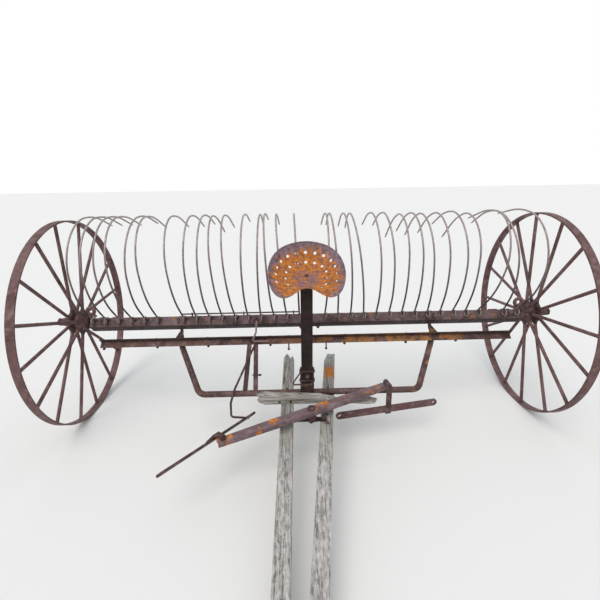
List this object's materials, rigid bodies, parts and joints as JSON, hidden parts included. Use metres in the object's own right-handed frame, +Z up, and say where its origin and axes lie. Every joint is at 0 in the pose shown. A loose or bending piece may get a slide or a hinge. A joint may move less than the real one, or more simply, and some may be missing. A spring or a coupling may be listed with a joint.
{
  "type": "horse-drawn dump hay rake",
  "caption": "Riding dump rake: tall spoked wheels carry a head of curved spring teeth, with a pan seat, draft bow, wooden tongue, evener and singletrees.",
  "frame": {"origin": "centre of the bounding box in plan, on the ground that the wheels and the tongue stand on", "axes": "+X from the left wheel to the right wheel as seen from the tongue, +Y to the rear, the tongue points to -Y, +Z up"},
  "size_m": [3.48, 3.051, 1.473],
  "materials": {
    "wheel_steel": "rusted through, purple-brown with paler scuffs",
    "casting": "rusted dark and pitted",
    "head_steel": "rusted purple-brown, rubbed along its edges",
    "tooth_steel": "spring steel, brown at the coil and worn pale over the top",
    "rod_steel": "rusted dark brown",
    "bar_steel": "rusted purple-brown with bright orange patches",
    "pipe_steel": "rusted pipe with orange patches on one arm",
    "seat_steel": "rusted orange over purple-brown at the rim",
    "wood": "bare, weathered grey and cracked along the grain"
  },
  "bodies": {
    "frame": {"front_bar": "bar_steel", "hanger_left": "casting", "hanger_right": "casting", "draft_bow": "pipe_steel", "tongue_left": "wood", "tongue_right": "wood", "tongue_iron": "casting", "cross_board": "wood", "seat_standard": "rod_steel", "seat_spring": "rod_steel", "seat_clamps": "casting", "seat": "seat_steel", "foot_rest": "rod_steel", "lever_post_outer": "rod_steel", "lever_post_inner": "rod_steel", "foot_lever": "rod_steel", "latch_link": "rod_steel", "king_bolt": "casting"},
    "rake_head": {"rake_head": "head_steel", "teeth_left": "tooth_steel", "teeth_right": "tooth_steel", "axle_left": "casting", "axle_right": "casting", "axle_brackets": "casting", "hinge_lugs": "casting", "hinge_pins": "casting", "pawl_left": "casting", "pawl_right": "casting", "dump_rod": "rod_steel", "trip_boss": "casting"},
    "wheel_left": {"rim_left": "wheel_steel", "spokes_left": "wheel_steel", "hub_left": "casting"},
    "wheel_right": {"rim_right": "wheel_steel", "spokes_right": "wheel_steel", "hub_right": "casting"},
    "evener": {"evener": "bar_steel"},
    "singletree_left": {"tree_left": "rod_steel", "link_left": "rod_steel"},
    "singletree_right": {"tree_right": "rod_steel", "link_right": "rod_steel"}
  },
  "joints": [
    {"name": "head_hinge", "type": "hinge", "parent": "frame", "child": "rake_head", "pos_m": [0, 0.82551, 0.7], "axis": [1, 0, 0], "range_deg": [-100, 0]},
    {"name": "wheel_left_turn", "type": "hinge", "parent": "rake_head", "child": "wheel_left", "pos_m": [-1.607, 0.82551, 0.7], "axis": [1, 0, 0], "continuous": true},
    {"name": "wheel_right_turn", "type": "hinge", "parent": "rake_head", "child": "wheel_right", "pos_m": [1.607, 0.82551, 0.7], "axis": [1, 0, 0], "continuous": true},
    {"name": "evener_turn", "type": "hinge", "parent": "frame", "child": "evener", "pos_m": [0, 0.1675, 0.35222], "axis": [0, -0.1392, 0.9903], "range_deg": [-15, 2]},
    {"name": "singletree_left_turn", "type": "hinge", "parent": "evener", "child": "singletree_left", "pos_m": [-0.48213, -0.0503, 0.33776], "axis": [0, 0, 1], "range_deg": [-25, 12]},
    {"name": "singletree_right_turn", "type": "hinge", "parent": "evener", "child": "singletree_right", "pos_m": [0.48213, 0.38085, 0.39836], "axis": [0, 0, 1], "range_deg": [0, 35]}
  ]
}
